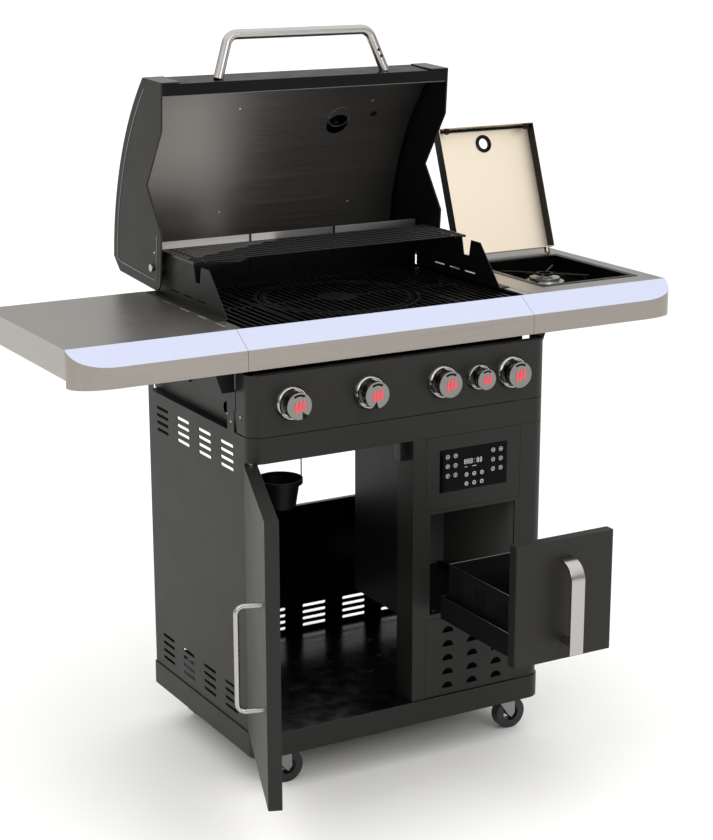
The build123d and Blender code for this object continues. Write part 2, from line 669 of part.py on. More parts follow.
def side_lid():
    t = THIN
    lid = block(LID_X0, LID_X1, LID_Y0, LID_Y1, LID_Z0, LID_Z1)
    lid = lid - block(LID_X0 + t, LID_X1 - t, LID_Y0 + t, LID_Y1 - t, LID_Z0 - 1, LID_Z1 - t)
    for x in (427, 643):
        ear = block(x, x + 4, LID_Y1 - 3, LID_PIN_Y + 4, LID_PIN_Z - 3.5, LID_PIN_Z + 6)
        lid = lid + ear - pin_x(x - 1, x + 5, LID_PIN_Y, LID_PIN_Z, 2 + RUN)
    lid = lid - post((LID_X0 + LID_X1) / 2, -75, LID_Z0 - 1, LID_Z1 + 1, 12.5)
    return turned(lid, LID_PIN_Y, LID_PIN_Z, LID_OPEN)


def turned(shape, y, z, angle):
    return Pos(0, y, z) * Rot(-angle, 0, 0) * Pos(0, -y, -z) * shape


def arc_face(outer, inner, y0, y1):
    """Ring sector between two hood arcs, from y0 to y1, on the YZ plane."""
    ring = Pos(ARC_Y, ARC_Z) * (Circle(outer) - Circle(inner))
    window = Pos((y0 + y1) / 2, ARC_Z + 500) * Rectangle(y1 - y0, 1000)
    return ring & window


def arc_z(radius, y):
    return ARC_Z + math.sqrt(radius ** 2 - (y - ARC_Y) ** 2)


def cap_face():
    y0, z0 = HOOD_FRONT_Y, HOOD_EDGE_Z
    top = arc_z(ARC_R, y0 + 3)
    mid = (y0 + ARC_Y) / 2
    edges = Curve() + [
        Line((y0, z0), (y0 + 3, top)),
        ThreePointArc((y0 + 3, top), (mid, arc_z(ARC_R, mid)), (ARC_Y, ARC_Z + ARC_R)),
        Line((ARC_Y, ARC_Z + ARC_R), (262, 1195)),
        Line((262, 1195), (260, 998)),
        Line((260, 998), (246, 984)),
        Line((246, 984), (136, z0)),
        Line((136, z0), (47, 1055)),
        Line((47, 1055), (-78, z0)),
        Line((-78, z0), (y0, z0)),
    ]
    return make_face(edges)


def hood_end_caps():
    face = cap_face()
    x1, x0 = HOOD_X, HOOD_X - CAP_T
    plate = prism_x(face, x0, x1)
    rim = arc_face(ARC_R, ARC_R - 3, HOOD_FRONT_Y + 3, ARC_Y)
    tab = prism_x(rim, x0 - 10, x0 + 1)
    nose = block(x0 - 40, x0 + 1, HOOD_FRONT_Y, HOOD_FRONT_Y + 3, HOOD_EDGE_Z, 1068)
    cap = merged([plate, tab, nose & prism_x(face, x0 - 45, x0 + 2)])
    cap = cap - pin_x(x0 - 1, x1 + 1, HOOD_Y, HOOD_Z, STEM_R + RUN)
    cap = turned(cap, HOOD_Y, HOOD_Z, HOOD_OPEN)
    return Compound(children=[cap, mirrored(cap)])


def hood_shell():
    x = HOOD_X - CAP_T - RUN
    y0 = HOOD_FRONT_Y + 4
    r1 = ARC_R - 3.2
    top = prism_x(arc_face(r1, r1 - THIN, y0, ARC_Y), -x, x)
    front = block(-x, x, y0, y0 + THIN, HOOD_EDGE_Z + 1, arc_z(r1 - 1, y0 + 1))
    lip = block(-x, x, y0, y0 + 24, HOOD_EDGE_Z + 1, HOOD_EDGE_Z + 1 + THIN)
    back = [(ARC_Y - 1, ARC_Z + r1 - THIN), (ARC_Y - 1, ARC_Z + r1), (ARC_Y + 1, ARC_Z + r1), (258, 1195),
            (256.5, 1080), (255, 1080), (256.2, 1194), (ARC_Y, ARC_Z + r1 - THIN)]
    rear = prism_x(outline(back), -x, x)
    shell = merged([top, front, lip, rear])
    return turned(shell, HOOD_Y, HOOD_Z, HOOD_OPEN)


def hood_liner():
    x = HOOD_X - CAP_T - RUN
    y0 = HOOD_FRONT_Y + 29
    top = prism_x(arc_face(LINER_R, LINER_R - THIN, y0 - 0.5, 250), -x, x)
    front = block(-x, x, y0 - 1, y0 + 0.5, HOOD_EDGE_Z + 1 + THIN, arc_z(LINER_R - 1, y0))
    foot = block(-x, x, y0 - 6, y0 + 0.5, HOOD_EDGE_Z + 1 + THIN, HOOD_EDGE_Z + 1 + 2 * THIN)
    liner = merged([top, front, foot])
    return turned(liner, HOOD_Y, HOOD_Z, HOOD_OPEN)


def hood_handle():
    y0 = HOOD_FRONT_Y + 4
    foot_z, grip_y, grip_z = 1013.0, -259.0, 1034.0
    path = FilletPolyline(
        (-199, y0, foot_z), (-166, grip_y, grip_z), (166, grip_y, grip_z), (199, y0, foot_z), radius=26)
    start = Plane(origin=path @ 0, z_dir=path % 0)
    tube = sweep(start * Circle(10.5), path=path)
    tube = tube - block(-260, 260, y0, y0 + 60, 900, 1100)
    return turned(tube, HOOD_Y, HOOD_Z, HOOD_OPEN)


def thermometer():
    x, y = 146.0, -60.0
    out = Vector(0, y - ARC_Y, arc_z(ARC_R, y) - ARC_Z).normalized()
    centre = Vector(x, ARC_Y, ARC_Z)
    r_face = ARC_R - 3.2
    dial = rod(tuple(centre + out * r_face), tuple(centre + out * (r_face + 9)), 30)
    stem = rod(tuple(centre + out * (r_face - THIN - 30)), tuple(centre + out * (r_face - THIN)), 5)
    nut = rod(tuple(centre + out * (r_face - THIN - 6)), tuple(centre + out * (r_face - THIN - 0.6)), 11)
    skin = rod(tuple(centre + out * (r_face - THIN - 1)), tuple(centre + out * (r_face + 1)), 5)
    return turned(merged([dial, stem, nut, skin]), HOOD_Y, HOOD_Z, HOOD_OPEN)


def bored_for_dial(shape, radius):
    x, y = 146.0, -60.0
    out = Vector(0, y - ARC_Y, arc_z(ARC_R, y) - ARC_Z).normalized()
    centre = Vector(x, ARC_Y, ARC_Z)
    bore = rod(tuple(centre + out * (LINER_R - 12)), tuple(centre + out * (ARC_R + 5)), radius)
    return shape - turned(bore, HOOD_Y, HOOD_Z, HOOD_OPEN)


def hinge_pins():
    pins = []
    for s in (-1, 1):
        shank = pin_x(s * (CHEEK_X - SHEET), s * (HOOD_X + 0.4), HOOD_Y, HOOD_Z, STEM_R)
        head = pin_x(s * (HOOD_X + 0.4), s * (HOOD_X + 6), HOOD_Y, HOOD_Z, 8)
        spacer = pin_x(s * CHEEK_X, s * (HOOD_X - CAP_T - 0.4), HOOD_Y, HOOD_Z, 9)
        pins.append(merged([shank, head, spacer]))
    pins.append(post(DOOR_PIN_X, DOOR_PIN_Y, DOOR_Z1 - 12, RAIL_Z0 + 2, STEM_R))
    pins.append(post(DOOR_PIN_X, DOOR_PIN_Y, PAN_Z1, DOOR_Z0 + 12, STEM_R)
                + post(DOOR_PIN_X, DOOR_PIN_Y, PAN_Z1, DOOR_Z0 - 0.3, 7))
    pins.append(pin_x(425, 432, LID_PIN_Y, LID_PIN_Z, 2))
    pins.append(pin_x(642, 649, LID_PIN_Y, LID_PIN_Z, 2))
    return Compound(children=pins)


def swung(shape):
    return Pos(DOOR_PIN_X, DOOR_PIN_Y, 0) * Rot(0, 0, -DOOR_OPEN) * Pos(-DOOR_PIN_X, -DOOR_PIN_Y, 0) * shape


def door_panel():
    t = THIN
    y1 = FRONT_Y + DOOR_T
    door = block(DOOR_X0, DOOR_X1, FRONT_Y, y1, DOOR_Z0, DOOR_Z1)
    door = door - block(DOOR_X0 + t, DOOR_X1 - t, FRONT_Y + t, y1 - t, DOOR_Z0 + t, DOOR_Z1 - t)
    door = door - post(DOOR_PIN_X, DOOR_PIN_Y, DOOR_Z0 - 1, DOOR_Z1 + 1, STEM_R + RUN)
    return swung(door)


def door_handle():
    x, out, z0, z1 = -17.0, FRONT_Y - 50, 326.0, 532.0
    path = FilletPolyline((x, FRONT_Y, z0), (x, out, z0), (x, out, z1), (x, FRONT_Y, z1), radius=16)
    start = Plane(origin=path @ 0, z_dir=path % 0)
    return swung(sweep(start * Circle(5), path=path))


def door_catch():
    body = block(6, POST_X, -216, -190, 655, 700)
    return body - block(9, 17, -217, -212, 660, 695)


def table_brackets():
    side = [(349.2, 838.5), (376, 838.5), (420, 962.5), (330.1, 962.5), (330.1, BRACKET_Z), (349.2, BRACKET_Z)]
    gusset = prism_y(outline(side), -176, -173)
    rear = Pos(0, 406, 0) * gusset
    return Compound(children=[gusset, rear, mirrored(gusset), mirrored(rear)])


def grease_tray():
    z0, z1 = 742.1, 768.0
    tray = block(-216, 216, -130, 215, z0, z1)
    tray = tray - block(-214.5, 214.5, -128.5, 213.5, z0 + THIN, z1 + 1)
    tray = tray - post(CUP_X, CUP_Y, z0 - 1, z0 + 3, 14)
    grip = block(-60, 60, 215, 238, z1 - 8, z1 - 6)
    grip = grip + block(-60, 60, 213.5, 216, z1 - 8, z1)
    legs = []
    for s in (-1, 1):
        x = CUP_X + s * 52
        legs.append(rod((x, CUP_Y, CUP_RIM_Z - 12), (x, CUP_Y, z0 + 1), 1.4))
        hook = (x + s * 1.4, CUP_Y, CUP_RIM_Z - 12)
        legs.append(rod(hook, (CUP_X + s * 45, CUP_Y, CUP_RIM_Z - 12), 1.4))
    return merged([tray, grip] + legs)


def grease_cup():
    z0, z1 = CUP_BASE_Z, CUP_RIM_Z
    profile = [(0, z0), (34, z0), (42.5, z1 - 10.4), (49.5, z1 - 10.4), (49.5, z1), (47.5, z1),
               (47.5, z1 - 8.8), (41, z1 - 8.8), (32.6, z0 + THIN), (0, z0 + THIN)]
    cup = revolve(Plane.XZ * outline(profile), Axis.Z)
    return Pos(CUP_X, CUP_Y, 0) * cup


def knob(i):
    x, r = KNOB_X[i], KNOB_R[i]
    body = pin_y(x, FRONT_Y - 32, FRONT_Y - 3.5, KNOB_Z, r - 1.3)
    disc = pin_y(x, FRONT_Y - 35, FRONT_Y - 32, KNOB_Z, r)
    bore = pin_y(x, FRONT_Y - 19.5, FRONT_Y - 3, KNOB_Z, STEM_R + RUN)
    return body + disc - bore


def caster_fork(sx, sy):
    c = CASTER_TRAIL
    side = [(-16, 79.6), (20, 79.6), (26, 60), (c + 8, WHEEL_R), (c, WHEEL_R - 9), (c - 9, WHEEL_R - 2), (-16, 70)]
    cheeks = [prism_y(outline(side), y, y + 2.5) for y in (-16, 13.5)]
    top = block(-16, 22, -16, 16, 76.6, 79.6)
    stem = post(0, 0, 78, PAN_Z0 + 40, CASTER_STEM_R)
    axle = pin_y(c, -16, 16, WHEEL_R, 4)
    fork = merged([top, stem, axle] + cheeks)
    return Pos(sx * CASTER_X, sy * CASTER_Y, 0) * fork


def caster_wheel(sx, sy):
    tyre = pin_y(0, -12, 12, 0, WHEEL_R) - pin_y(0, -13, 13, 0, 18)
    hub = pin_y(0, -12.5, 12.5, 0, 9)
    spokes = [Rot(0, angle, 0) * block(7, 20, -5, 5, -3, 3) for angle in (60, 180, 300)]
    wheel = merged([tyre, hub] + spokes) - pin_y(0, -14, 14, 0, 4 + RUN)
    return Pos(sx * CASTER_X + CASTER_TRAIL, sy * CASTER_Y, WHEEL_R) * wheel


def nodes():
    yield "base_pan", base_pan()
    yield "side_panel_left", side_panel_left()
    yield "side_panel_right", side_panel_right()
    yield "back_panel", back_panel()
    yield "front_rail", front_rail()
    yield "fryer_frame", fryer_frame()
    yield "fryer_fascia", fryer_fascia()
    yield "touch_glass", touch_glass()
    yield "fryer_vent_panel", fryer_vent_panel()
    yield "fryer_housing", fryer_housing()
    yield "fryer_heater", fryer_heater()
    yield "fryer_fan", fryer_fan()
    yield "drawer_rails", drawer_rails()
    yield "drawer_front", drawer_front()
    yield "drawer_tray", drawer_tray()
    yield "drawer_handle", drawer_handle()
    yield "fryer_basket", fryer_basket()
    yield "firebox_shell", firebox_shell()
    yield "grate_ledges", grate_ledges()
    yield "tray_rails", tray_rails()
    yield "firebox_cheeks", firebox_cheeks()
    yield "control_panel", control_panel()
    yield "knob_bezels", knob_bezels()
    yield "gas_manifold", gas_manifold()
    yield "main_burners", main_burners()
    yield "flame_tamers", flame_tamers()
    yield "side_grates", side_grates()
    yield "ring_grate", ring_grate()
    yield "grate_insert", grate_insert()
    yield "warming_rack", warming_rack()
    yield "left_table", left_table()
    yield "right_table", right_table()
    yield "front_trim", front_trim()
    yield "side_burner_bowl", side_burner_bowl()
    yield "side_burner", side_burner()
    yield "side_burner_trivet", side_burner_trivet()
    yield "side_lid", side_lid()
    yield "hood_end_caps", hood_end_caps()
    yield "hood_shell", bored_for_dial(hood_shell(), 5)
    yield "hood_liner", bored_for_dial(hood_liner(), 26)
    yield "hood_handle", hood_handle()
    yield "thermometer", thermometer()
    yield "hinge_pins", hinge_pins()
    yield "door_panel", door_panel()
    yield "door_handle", door_handle()
    yield "door_catch", door_catch()
    yield "table_brackets", table_brackets()
    yield "grease_tray", grease_tray()
    yield "grease_cup", grease_cup()
    for i in range(5):
        yield f"knob_{i + 1}", knob(i)
    corners = {"front_left": (-1, -1), "front_right": (1, -1), "rear_left": (-1, 1), "rear_right": (1, 1)}
    for name, (sx, sy) in corners.items():
        yield f"caster_fork_{name}", caster_fork(sx, sy)
        yield f"caster_wheel_{name}", caster_wheel(sx, sy)


os.makedirs("parts", exist_ok=True)
for name, shape in nodes():
    export_step(Pos(0, ORIGIN_Y, 0) * shape, f"parts/{name}.step")
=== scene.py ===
"""Looks of a gas barbecue grill on a cart: materials, rounded sheet edges, fittings and small detail.

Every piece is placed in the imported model's frame. Helper functions take millimetres measured
from the cabinet's centre line, with +Z up and the front towards -Y.
"""
import json
import math

import bmesh
import bpy
from mathutils import Matrix, Vector

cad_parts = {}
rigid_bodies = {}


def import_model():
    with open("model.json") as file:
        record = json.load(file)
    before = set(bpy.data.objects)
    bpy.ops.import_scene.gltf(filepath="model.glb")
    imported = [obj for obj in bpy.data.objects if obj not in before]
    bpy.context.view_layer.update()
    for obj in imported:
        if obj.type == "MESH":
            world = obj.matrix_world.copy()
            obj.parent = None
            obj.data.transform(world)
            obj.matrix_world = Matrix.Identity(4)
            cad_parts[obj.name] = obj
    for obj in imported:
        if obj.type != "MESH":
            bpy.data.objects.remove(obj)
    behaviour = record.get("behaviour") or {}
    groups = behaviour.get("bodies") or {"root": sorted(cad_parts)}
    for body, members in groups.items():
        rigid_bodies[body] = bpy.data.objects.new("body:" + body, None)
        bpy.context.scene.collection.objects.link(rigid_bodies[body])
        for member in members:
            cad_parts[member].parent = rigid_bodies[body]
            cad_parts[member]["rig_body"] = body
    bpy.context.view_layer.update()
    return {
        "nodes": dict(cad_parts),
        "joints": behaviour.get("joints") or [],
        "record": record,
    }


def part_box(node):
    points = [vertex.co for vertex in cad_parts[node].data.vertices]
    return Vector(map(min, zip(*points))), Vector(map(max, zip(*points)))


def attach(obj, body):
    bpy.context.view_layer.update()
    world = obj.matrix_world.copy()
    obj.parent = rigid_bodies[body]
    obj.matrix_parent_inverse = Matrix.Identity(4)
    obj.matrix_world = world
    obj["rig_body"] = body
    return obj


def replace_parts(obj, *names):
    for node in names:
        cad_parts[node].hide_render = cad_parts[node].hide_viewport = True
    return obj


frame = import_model()

MM = 0.001
PAN_LOW, PAN_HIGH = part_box("base_pan")
CABINET_Y = (PAN_LOW.y + PAN_HIGH.y) / 2
SLOT_OF = {row["node"]: row["material_slot"] for row in frame["record"]["subparts"]}
BODY_OF = {node: obj["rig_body"] for node, obj in frame["nodes"].items()}
JOINT = {joint["name"]: joint for joint in frame["joints"]}


def at(x, y, z):
    """A point given in millimetres from the cabinet's centre line, in the frame's metres."""
    return Vector((x * MM, y * MM + CABINET_Y, z * MM))


def opened(point, joint):
    """Where a point of a shut lid or door lies with that hinge open, as it is stored."""
    row = JOINT[joint]
    pivot = Vector(row["pos_m"])
    turn = Matrix.Rotation(-math.radians(row["range_deg"][1]), 4, Vector(row["axis"]))
    return pivot + turn @ (point - pivot)


# ---------------------------------------------------------------- materials

def start_material(name, colour, rough, metal):
    material = bpy.data.materials.new(name)
    material.use_nodes = True
    shader = material.node_tree.nodes["Principled BSDF"]
    shader.inputs["Base Color"].default_value = (*colour, 1)
    shader.inputs["Roughness"].default_value = rough
    shader.inputs["Metallic"].default_value = metal
    material.diffuse_color = (*colour, 1)
    return material, shader


def noise_in(tree, scale, stretch=(1, 1, 1), detail=3):
    """Noise over the piece's own place, stretched along an axis for brushing marks."""
    place = tree.nodes.new("ShaderNodeTexCoord")
    mapping = tree.nodes.new("ShaderNodeMapping")
    mapping.inputs["Scale"].default_value = stretch
    noise = tree.nodes.new("ShaderNodeTexNoise")
    noise.inputs["Scale"].default_value = scale
    noise.inputs["Detail"].default_value = detail
    tree.links.new(place.outputs["Object"], mapping.inputs["Vector"])
    tree.links.new(mapping.outputs["Vector"], noise.inputs["Vector"])
    return noise.outputs["Fac"]


def tint(tree, shader, factor, colour, spread):
    """Colour that wanders between a darker and a lighter shade of the same paint."""
    mix = tree.nodes.new("ShaderNodeMix")
    mix.data_type = "RGBA"
    mix.inputs["A"].default_value = (*[c * (1 - spread) for c in colour], 1)
    mix.inputs["B"].default_value = (*[min(1, c * (1 + spread)) for c in colour], 1)
    tree.links.new(factor, mix.inputs["Factor"])
    tree.links.new(mix.outputs["Result"], shader.inputs["Base Color"])


def vary_roughness(tree, shader, factor, low, high):
    span = tree.nodes.new("ShaderNodeMapRange")
    span.inputs["From Min"].default_value = 0.3
    span.inputs["From Max"].default_value = 0.7
    span.inputs["To Min"].default_value = low
    span.inputs["To Max"].default_value = high
    tree.links.new(factor, span.inputs["Value"])
    tree.links.new(span.outputs["Result"], shader.inputs["Roughness"])


def bump(tree, shader, factor, strength, depth):
    node = tree.nodes.new("ShaderNodeBump")
    node.inputs["Strength"].default_value = strength
    node.inputs["Distance"].default_value = depth
    tree.links.new(factor, node.inputs["Height"])
    tree.links.new(node.outputs["Normal"], shader.inputs["Normal"])


def powder(name, colour, rough, peel=0.2, level=0.25):
    """Satin powder coat: fine orange peel, patches a little duller than others."""
    material, shader = start_material(name, colour, rough, 0)
    tree = material.node_tree
    shader.inputs["Specular IOR Level"].default_value = level
    tint(tree, shader, noise_in(tree, 5), colour, 0.05)
    vary_roughness(tree, shader, noise_in(tree, 12), rough - 0.02, rough + 0.02)
    bump(tree, shader, noise_in(tree, 1400, detail=1), peel, 0.00005)
    return material


def brushed(name, colour, rough, stretch, spread=0.1, depth=0.15):
    """Brushed steel: long fine streaks in its colour, gloss and relief."""
    material, shader = start_material(name, colour, rough, 1)
    tree = material.node_tree
    streaks = noise_in(tree, 1, stretch, 5)
    tint(tree, shader, streaks, colour, spread)
    vary_roughness(tree, shader, streaks, rough - 0.06, rough + 0.08)
    bump(tree, shader, streaks, depth, 0.00004)
    return material


def enamel(name, colour, rough, peel=0.15, level=0.12):
    """Fired gloss enamel with a soft waviness."""
    material, shader = start_material(name, colour, rough, 0)
    tree = material.node_tree
    shader.inputs["Specular IOR Level"].default_value = level
    tint(tree, shader, noise_in(tree, 14), colour, 0.2)
    vary_roughness(tree, shader, noise_in(tree, 30), rough - 0.06, rough + 0.06)
    bump(tree, shader, noise_in(tree, 160), peel, 0.0002)
    return material


def cast(name, colour, rough):
    """Cast iron under thin enamel: pitted, with duller high spots."""
    material, shader = start_material(name, colour, rough, 0)
    tree = material.node_tree
    shader.inputs["Specular IOR Level"].default_value = 0.25
    tint(tree, shader, noise_in(tree, 60), colour, 0.35)
    vary_roughness(tree, shader, noise_in(tree, 25), rough - 0.1, rough + 0.12)
    bump(tree, shader, noise_in(tree, 500), 0.5, 0.0003)
    return material


def polished(name, colour, rough):
    """Plated or polished metal with faint wiping marks."""
    material, shader = start_material(name, colour, rough, 1)
    tree = material.node_tree
    vary_roughness(tree, shader, noise_in(tree, 70), max(0.02, rough - 0.04), rough + 0.06)
    tint(tree, shader, noise_in(tree, 120), colour, 0.04)
    return material


def moulded(name, colour, rough, grain=0.3):
    """Moulded plastic or rubber with a fine matt grain."""
    material, shader = start_material(name, colour, rough, 0)
    tree = material.node_tree
    tint(tree, shader, noise_in(tree, 50), colour, 0.12)
    vary_roughness(tree, shader, noise_in(tree, 90), rough - 0.06, rough + 0.06)
    bump(tree, shader, noise_in(tree, 2200, detail=1), grain, 0.0001)
    return material


def printed(name, colour, glow=0.0):
    """Printed or lit mark: flat ink, slightly uneven in density."""
    material, shader = start_material(name, colour, 0.5, 0)
    tree = material.node_tree
    tint(tree, shader, noise_in(tree, 700), colour, 0.08)
    shader.inputs["Emission Color"].default_value = (*colour, 1)
    shader.inputs["Emission Strength"].default_value = glow
    return material


ALONG_X = (5, 700, 700)
ALONG_Z = (700, 700, 5)
PAINT = {
    "charcoal": powder("charcoal_coat", (0.016, 0.0155, 0.0146), 0.42, level=0.2),
    "hood_grey": powder("hood_coat", (0.015, 0.0145, 0.0132), 0.45, level=0.16),
    "dark_pan": powder("dark_coat", (0.006, 0.006, 0.006), 0.4, level=0.12),
    "trim_steel": brushed("trim_brushed", (0.315, 0.288, 0.262), 0.34, ALONG_X, 0.2, 0.3),
    "liner_steel": brushed("liner_brushed", (0.17, 0.165, 0.16), 0.42, ALONG_X, 0.05, 0.05),
    "table_steel": brushed("table_brushed", (0.36, 0.345, 0.32), 0.34, ALONG_X),
    "handle_steel": brushed("handle_satin", (0.40, 0.385, 0.375), 0.25, ALONG_X, 0.05, 0.05),
    "lid_steel": brushed("lid_satin", (0.62, 0.56, 0.50), 0.36, ALONG_X, 0.06),
    "chrome": polished("chrome_plate", (0.42, 0.41, 0.40), 0.1),
    "enamel_black": enamel("black_enamel", (0.0015, 0.0015, 0.0015), 0.3),
    "cast_black": cast("grate_enamel", (0.002, 0.002, 0.002), 0.36),
    "black_plastic": moulded("black_plastic", (0.004, 0.004, 0.004), 0.4),
    "knob_face": polished("knob_face", (0.22, 0.215, 0.21), 0.3),
    "touch_glass": enamel("touch_glass_black", (0.0008, 0.0008, 0.0008), 0.08, 0.0, 0.06),
    "inner_steel": powder("inner_coat", (0.007, 0.007, 0.007), 0.35, level=0.15),
    "brass": polished("plain_brass", (0.55, 0.42, 0.2), 0.3),
    "caster_grey": brushed("caster_zinc", (0.26, 0.26, 0.26), 0.35, ALONG_Z),
    "caster_black": moulded("caster_rubber", (0.008, 0.008, 0.008), 0.45),
    "burner_alloy": polished("burner_alloy", (0.55, 0.55, 0.55), 0.3),
}
# Bluish coat on the trim chamfer: a painted reflection of the bright sky, not a colour of the steel.
CHAMFER_SKY_REFLECTION = brushed("trim_chamfer_sky_reflection", (0.50, 0.53, 0.66), 0.3, ALONG_X, 0.04, 0.1)
# Lighter cream coat on the lid's steel inner plate: a painted reflection of bright light.
LID_PLATE_PAINTED_REFLECTION = brushed("lid_plate_painted_reflection", (0.84, 0.75, 0.62), 0.5, ALONG_X, 0.03, 0.05)
RED_INK = printed("red_mark", (0.80, 0.07, 0.09))
WHITE_INK = printed("panel_print", (0.75, 0.75, 0.75), 0.15)
DIM_INK = printed("panel_print_dim", (0.5, 0.5, 0.5), 0.1)
BLACK_GLOSS = enamel("black_gloss", (0.0015, 0.0015, 0.0015), 0.2)
BLACK_SATIN = powder("black_satin", (0.0035, 0.0035, 0.0035), 0.4, level=0.12)
# Light grey coat inside the fryer niche: painted light standing for light reaching into the deep, shaded
# niche.
NICHE_PAINTED_LIGHT = powder("niche_painted_light", (0.13, 0.13, 0.123), 0.4)
GLOSS_FLOOR = enamel("cabinet_floor_gloss", (0.002, 0.002, 0.002), 0.22, 0.03, 0.6)
RACK_WIRE = enamel("rack_wire", (0.004, 0.004, 0.004), 0.3, 0.1, 0.3)
# Light grey coat on the hood caps' upward faces at the top corners: a painted highlight.
CAP_TOP_PAINTED_HIGHLIGHT = powder("cap_top_painted_highlight", (0.10, 0.098, 0.094), 0.4)
# Light grey coat on the back panel's upward top face: a painted highlight from the light above.
BACK_TOP_PAINTED_HIGHLIGHT = powder("back_top_painted_highlight", (0.12, 0.117, 0.112), 0.4)
# Lighter polished metal for the cap beads and the basket and tray rims: painted edge highlights on darker
# parts.
EDGE_PAINTED_HIGHLIGHT = polished("edge_painted_highlight", (0.30, 0.29, 0.28), 0.35)
SCREW_STEEL = polished("screw_steel", (0.45, 0.44, 0.43), 0.3)


# ---------------------------------------------------------------- mesh helpers

SHARP_DEGREES = 25
FLAT_DEGREES = 0.6
WELD_M = 2e-6


def add_object(name, mesh, material, body, smooth=35):
    mesh.materials.clear()
    mesh.materials.append(material)
    for face in mesh.polygons:
        face.use_smooth = True
    mesh.set_sharp_from_angle(angle=math.radians(smooth))
    piece = bpy.data.objects.new(name, mesh)
    bpy.context.scene.collection.objects.link(piece)
    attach(piece, body)
    return piece


def from_bmesh(bm, name):
    bmesh.ops.recalc_face_normals(bm, faces=bm.faces)
    mesh = bpy.data.meshes.new(name)
    bm.to_mesh(mesh)
    bm.free()
    return mesh


def bevel_sharp(bm, width):
    """Rounds the edges sharper than SHARP_DEGREES, by a width in millimetres."""
    least = math.radians(SHARP_DEGREES)
    sharp = [e for e in bm.edges if len(e.link_faces) == 2 and e.calc_face_angle(0) > least]
    if sharp and width:
        bmesh.ops.bevel(bm, geom=sharp, offset=width * MM, segments=2, profile=0.6,
                        affect="EDGES", clamp_overlap=False)


def repaint(mesh, coats):
    """Gives faces another coat where its test on (normal, centre in millimetres) holds."""
    for material, test in coats:
        mesh.materials.append(material)
        index = len(mesh.materials) - 1
        for face in mesh.polygons:
            spot = face.center
            if test(face.normal, Vector((spot.x, spot.y - CABINET_Y, spot.z)) / MM):
                face.material_index = index


def finished(node, material, width):
    """The CAD node's own shape with its sheet edges rounded, standing for that node."""
    source = frame["nodes"][node].data
    raw = bpy.data.meshes.new(node + "_raw")
    corners = [vertex.co.copy() for vertex in source.vertices]
    raw.from_pydata(corners, [], [list(face.vertices) for face in source.polygons])
    bm = bmesh.new()
    bm.from_mesh(raw)
    bpy.data.meshes.remove(raw)
    bmesh.ops.remove_doubles(bm, verts=bm.verts, dist=WELD_M)
    bmesh.ops.dissolve_limit(bm, angle_limit=math.radians(FLAT_DEGREES), verts=bm.verts, edges=bm.edges)
    bevel_sharp(bm, width)
    mesh = from_bmesh(bm, node + "_finish")
    piece = add_object(node + "_finish", mesh, material, BODY_OF[node])
    weights = piece.modifiers.new("face_weighted", "WEIGHTED_NORMAL")
    weights.keep_sharp = True
    repaint(piece.data, SECOND_COATS.get(node, ()))
    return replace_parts(piece, node)


def block(name, low, high, material, body, width):
    """A box between two corners in millimetres, its edges rounded by a width."""
    bm = bmesh.new()
    bmesh.ops.create_cube(bm, size=1)
    size = [b - a for a, b in zip(low, high)]
    centre = at(*[(a + b) / 2 for a, b in zip(low, high)])
    bmesh.ops.scale(bm, vec=[s * MM for s in size], verts=bm.verts)
    bmesh.ops.translate(bm, vec=centre, verts=bm.verts)
    bevel_sharp(bm, width)
    return add_object(name, from_bmesh(bm, name), material, body)


def lathed(profile, steps=64):
    """A bmesh turned about +Z from (radius, height) points in millimetres."""
    bm = bmesh.new()
    rings = []
    for radius, height in profile:
        if radius == 0:
            rings.append([bm.verts.new((0, 0, height * MM))])
            continue
        ring = []
        for i in range(steps):
            a = 2 * math.pi * i / steps
            spot = (radius * math.cos(a), radius * math.sin(a), height)
            ring.append(bm.verts.new([value * MM for value in spot]))
        rings.append(ring)
    for low, high in zip(rings[:-1], rings[1:]):
        for i in range(steps):
            j = (i + 1) % steps
            corners = [low[i % len(low)], low[j % len(low)], high[j % len(high)], high[i % len(high)]]
            unique = list(dict.fromkeys(corners))
            if len(unique) > 2:
                bm.faces.new(unique)
    return bm


def aim(direction, place):
    """The matrix that turns +Z towards a direction and moves the origin to a place."""
    return Matrix.Translation(place) @ Vector(direction).to_track_quat("Z", "Y").to_matrix().to_4x4()


def turned(name, profile, direction, place, material, body, steps=64):
    bm = lathed(profile, steps)
    bmesh.ops.transform(bm, matrix=aim(direction, place), verts=bm.verts)
    return add_object(name, from_bmesh(bm, name), material, body)


def joined(name, parts, material, body):
    """One object from several bmeshes."""
    whole = bmesh.new()
    for part in parts:
        mesh = bpy.data.meshes.new("part")
        part.to_mesh(mesh)
        part.free()
        whole.from_mesh(mesh)
        bpy.data.meshes.remove(mesh)
    return add_object(name, from_bmesh(whole, name), material, body)


def placed(bm, matrix):
    bmesh.ops.transform(bm, matrix=matrix, verts=bm.verts)
    return bm


def outline_plate(points, thick):
    """A flat plate in XY from its outline, as thick as said towards +Z, all in millimetres."""
    bm = bmesh.new()
    verts = [bm.verts.new((x * MM, y * MM, 0)) for x, y in points]
    face = bm.faces.new(verts)
    made = bmesh.ops.extrude_face_region(bm, geom=[face])
    moved = [v for v in made["geom"] if isinstance(v, bmesh.types.BMVert)]
    bmesh.ops.translate(bm, vec=(0, 0, thick * MM), verts=moved)
    return bm


